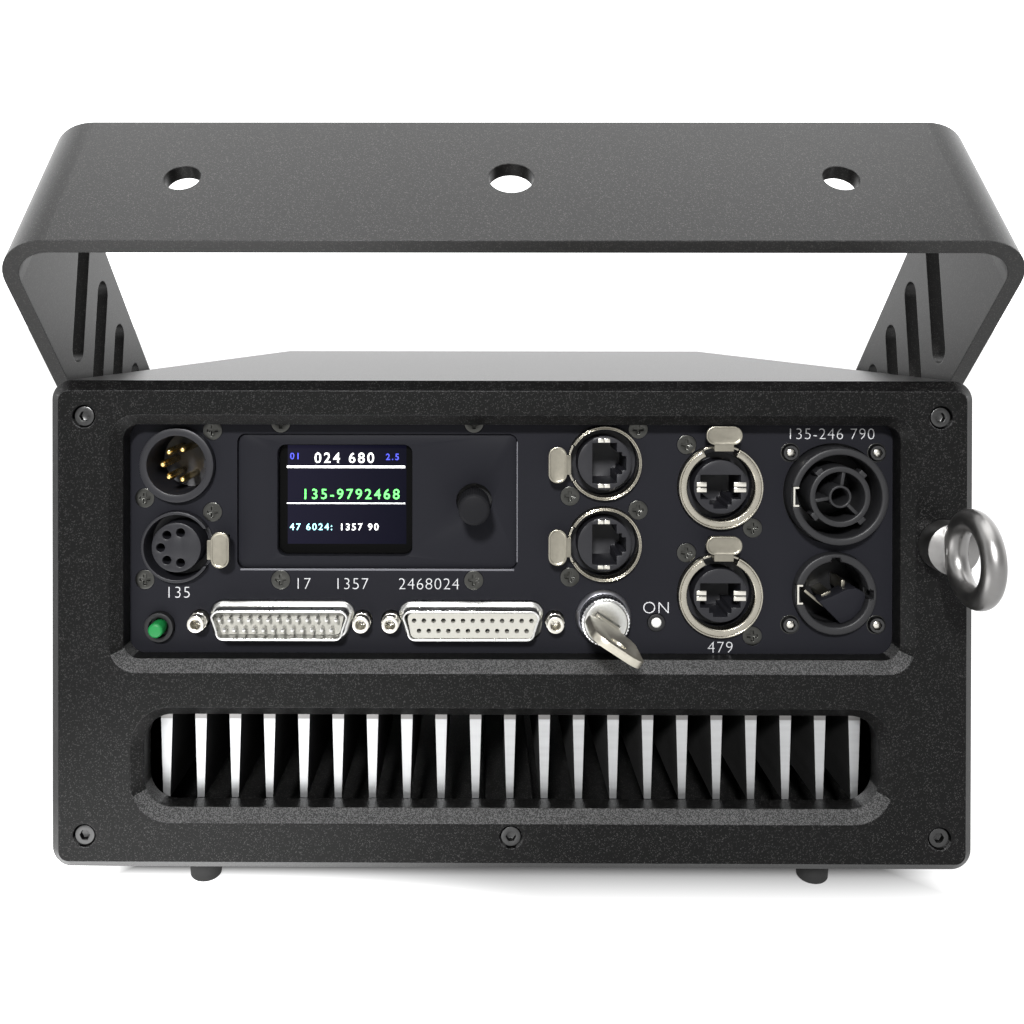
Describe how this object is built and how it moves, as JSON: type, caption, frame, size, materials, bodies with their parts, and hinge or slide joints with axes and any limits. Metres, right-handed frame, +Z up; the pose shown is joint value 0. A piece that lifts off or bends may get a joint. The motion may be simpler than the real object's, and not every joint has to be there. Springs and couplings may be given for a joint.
{
  "type": "laser show projector",
  "caption": "Stage laser projector: finned metal housing with rear connector panel, display, key switch, safety eye and tilting yoke.",
  "frame": {"origin": "centre of the overall box on the plane that the feet stand on", "axes": "+Z up, +Y the way the beam leaves, -Y the rear connector panel, +X to the right seen from the rear"},
  "size_m": [0.3206, 0.3761, 0.2272],
  "materials": {
    "black_coat": "black sparkle powder coat over aluminium",
    "panel_anodised": "blue-black anodised plate",
    "raw_aluminium": "bare extrusion",
    "black_steel": "black oxide",
    "nickel": "nickel plate",
    "chrome_bezel": "bright chrome",
    "stainless": "polished stainless steel",
    "gold": "gold flash on brass",
    "black_plastic": "moulded nylon",
    "cream_plastic": "moulded insulator",
    "green_cap": "green cap",
    "led_white": "diffused lens",
    "screen_glass": "small colour display",
    "clear_glass": "coated exit window",
    "rubber": "moulded rubber",
    "mask_coat": "black anodised",
    "module_coat": "anodised housings",
    "mirror_coat": "coated mirror",
    "circuit_board": "glass-epoxy board"
  },
  "bodies": {
    "housing": {"rear_frame": "black_coat", "front_plate": "black_coat", "housing_shell": "black_coat", "connector_panel": "panel_anodised", "display_plate": "panel_anodised", "base_heat_sink": "raw_aluminium", "laser_bench": "raw_aluminium", "galvo_block": "raw_aluminium", "cap_screws": "black_steel", "panel_screws": "nickel", "power_screws": "nickel", "network_rings": "nickel", "dsub_shells": "nickel", "jackscrews": "nickel", "power_clips": "nickel", "key_switch": "chrome_bezel", "eye_bolt": "stainless", "xlr_male_pins": "gold", "dsub_pins": "gold", "power_contacts": "gold", "xlr_male_shell": "black_plastic", "xlr_female_shell": "black_plastic", "network_inserts": "black_plastic", "power_socket": "black_plastic", "restart_bezel": "black_plastic", "led_bezel": "black_plastic", "fan_frames": "black_plastic", "encoder_body": "black_plastic", "yoke_spacers": "black_plastic", "dsub_inserts": "cream_plastic", "status_led": "led_white", "display_screen": "screen_glass", "exit_window": "clear_glass", "feet": "rubber", "laser_modules": "module_coat", "galvo_motors": "module_coat", "power_supply": "module_coat", "combining_mirrors": "mirror_coat", "control_board": "circuit_board", "driver_boards": "circuit_board"},
    "yoke": {"yoke": "black_coat"},
    "knob_left": {"yoke_knob_left": "black_plastic"},
    "knob_right": {"yoke_knob_right": "black_plastic"},
    "key": {"key": "nickel", "key_rotor": "nickel"},
    "encoder_shaft": {"encoder_shaft": "nickel"},
    "encoder_knob": {"encoder_knob": "black_plastic"},
    "restart_button": {"restart_button": "green_cap"},
    "xlr_tab": {"xlr_tab": "nickel"},
    "network_tab_1": {"network_tab_1": "nickel"},
    "network_tab_2": {"network_tab_2": "nickel"},
    "network_tab_3": {"network_tab_3": "nickel"},
    "network_tab_4": {"network_tab_4": "nickel"},
    "fan_left": {"fan_rotor_left": "black_plastic"},
    "fan_right": {"fan_rotor_right": "black_plastic"},
    "galvo_x": {"galvo_mirror_x": "mirror_coat"},
    "galvo_y": {"galvo_mirror_y": "mirror_coat"},
    "mask": {"aperture_mask": "mask_coat"},
    "mask_screw_left": {"mask_screw_left": "mask_coat"},
    "mask_screw_right": {"mask_screw_right": "mask_coat"}
  },
  "joints": [
    {"name": "yoke_tilt", "type": "hinge", "parent": "housing", "child": "yoke", "pos_m": [0, -0.00755, 0.0765], "axis": [1, 0, 0], "range_deg": [-100, 42]},
    {"name": "knob_left_turn", "type": "hinge", "parent": "housing", "child": "knob_left", "pos_m": [0, -0.00755, 0.0765], "axis": [1, 0, 0], "continuous": true},
    {"name": "knob_right_turn", "type": "hinge", "parent": "housing", "child": "knob_right", "pos_m": [0, -0.00755, 0.0765], "axis": [1, 0, 0], "continuous": true},
    {"name": "key_turn", "type": "hinge", "parent": "housing", "child": "key", "pos_m": [0.0269, -0.14905, 0.0814], "axis": [0, 1, 0], "range_deg": [-90, 0]},
    {"name": "encoder_push", "type": "slide", "parent": "housing", "child": "encoder_shaft", "axis": [0, 1, 0], "range_m": [0, 0.0008], "stiffness_N_per_m": 900},
    {"name": "encoder_turn", "type": "hinge", "parent": "encoder_shaft", "child": "encoder_knob", "pos_m": [-0.01045, -0.14905, 0.1147], "axis": [0, 1, 0], "continuous": true},
    {"name": "restart_press", "type": "slide", "parent": "housing", "child": "restart_button", "axis": [0, 1, 0], "range_m": [0, 0.001], "stiffness_N_per_m": 600},
    {"name": "xlr_release", "type": "slide", "parent": "housing", "child": "xlr_tab", "axis": [0, 1, 0], "range_m": [0, 0.0015], "stiffness_N_per_m": 500},
    {"name": "network_release_1", "type": "slide", "parent": "housing", "child": "network_tab_1", "axis": [0, 1, 0], "range_m": [0, 0.0015], "stiffness_N_per_m": 500},
    {"name": "network_release_2", "type": "slide", "parent": "housing", "child": "network_tab_2", "axis": [0, 1, 0], "range_m": [0, 0.0015], "stiffness_N_per_m": 500},
    {"name": "network_release_3", "type": "slide", "parent": "housing", "child": "network_tab_3", "axis": [0, 1, 0], "range_m": [0, 0.0015], "stiffness_N_per_m": 500},
    {"name": "network_release_4", "type": "slide", "parent": "housing", "child": "network_tab_4", "axis": [0, 1, 0], "range_m": [0, 0.0015], "stiffness_N_per_m": 500},
    {"name": "fan_left_spin", "type": "hinge", "parent": "housing", "child": "fan_left", "pos_m": [-0.058, 0.16425, 0.034], "axis": [0, 1, 0], "continuous": true},
    {"name": "fan_right_spin", "type": "hinge", "parent": "housing", "child": "fan_right", "pos_m": [0.058, 0.16425, 0.034], "axis": [0, 1, 0], "continuous": true},
    {"name": "galvo_x_scan", "type": "hinge", "parent": "housing", "child": "galvo_x", "pos_m": [-0.04, 0.08395, 0.096], "axis": [1, 0, 0], "range_deg": [-12, 12]},
    {"name": "galvo_y_scan", "type": "hinge", "parent": "housing", "child": "galvo_y", "pos_m": [-0.04, 0.06755, 0.108], "axis": [0, 0, 1], "range_deg": [-12, 12]},
    {"name": "mask_lift", "type": "slide", "parent": "housing", "child": "mask", "axis": [0, 0, 1], "range_m": [0, 0.018]},
    {"name": "mask_screw_left_turn", "type": "hinge", "parent": "housing", "child": "mask_screw_left", "pos_m": [-0.071, 0.18025, 0.088], "axis": [0, 1, 0], "continuous": true},
    {"name": "mask_screw_right_turn", "type": "hinge", "parent": "housing", "child": "mask_screw_right", "pos_m": [-0.009, 0.18025, 0.088], "axis": [0, 1, 0], "continuous": true}
  ]
}
